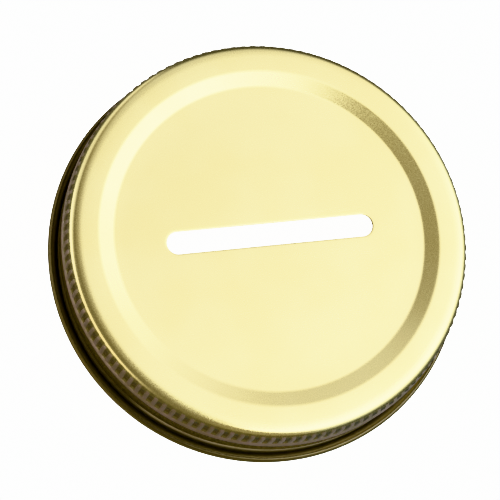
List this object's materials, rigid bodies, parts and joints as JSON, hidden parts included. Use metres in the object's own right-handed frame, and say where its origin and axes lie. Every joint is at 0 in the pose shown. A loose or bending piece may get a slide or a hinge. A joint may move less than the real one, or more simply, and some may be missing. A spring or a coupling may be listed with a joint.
{
  "type": "coin bank jar lid",
  "caption": "Gold-lacquered tinplate screw lid for a wide-mouth jar, with a round-ended coin slot, ribbed grip band, threaded skirt, open rolled bead and sealing ring.",
  "frame": {"origin": "centre of the circle that the rolled bead stands on", "axes": "+Z out of the lid's top face, along the thread's axis; +X along the coin slot"},
  "size_m": [0.091, 0.091, 0.0174],
  "materials": {
    "gold_tinplate": "satin gold lacquer on bright tinplate",
    "seal": "matte off-white sealing compound"
  },
  "bodies": {
    "root": {"lid_shell": "gold_tinplate", "sealing_ring": "seal"}
  },
  "joints": []
}
